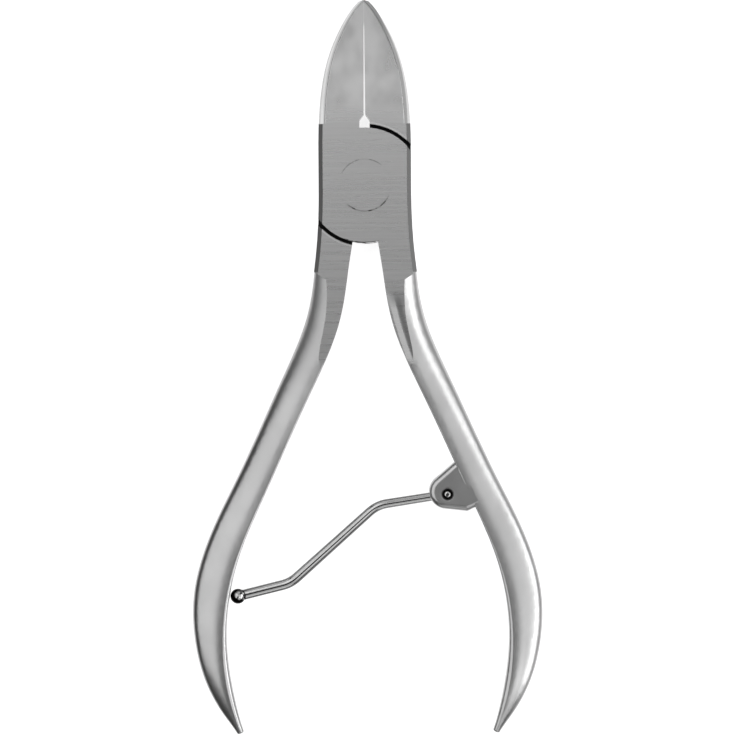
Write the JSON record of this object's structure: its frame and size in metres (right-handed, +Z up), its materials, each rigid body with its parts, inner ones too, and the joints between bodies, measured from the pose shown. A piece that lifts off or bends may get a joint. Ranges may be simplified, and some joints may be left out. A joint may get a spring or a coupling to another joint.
{
  "type": "nail nipper",
  "caption": "Plier-style nail nipper: crossed forged halves on a flush rivet, pointed cutting jaws, long bowed handles and a bent wire spring between them.",
  "frame": {"origin": "where the pivot's axis meets the flat underside of the lap joint, which the tool lies on", "axes": "+Z up along the pivot's axis, +Y towards the jaw tips, +X towards the handle that carries the spring lug"},
  "size_m": [0.0622, 0.1304, 0.0084],
  "materials": {
    "forged_steel": "satin",
    "rivet_steel": "satin",
    "pin_steel": "polished",
    "spring_wire": "polished"
  },
  "bodies": {
    "rear": {"rear_half": "forged_steel", "pivot_rivet": "rivet_steel"},
    "front": {"front_half": "forged_steel", "spring_pin": "pin_steel"},
    "spring": {"wire_spring": "spring_wire"}
  },
  "joints": [
    {"name": "pivot", "type": "hinge", "parent": "rear", "child": "front", "pos_m": [0, 0, 0.0042], "axis": [0, 0, 1], "range_deg": [0, 15]},
    {"name": "spring_swing", "type": "hinge", "parent": "front", "child": "spring", "pos_m": [0.01431, -0.05491, 0.0042], "axis": [0, 0, 1], "range_deg": [-44, 2]}
  ],
  "couplings": [
    {"joint": "spring_swing", "follows": "pivot", "ratio": -2.8}
  ]
}
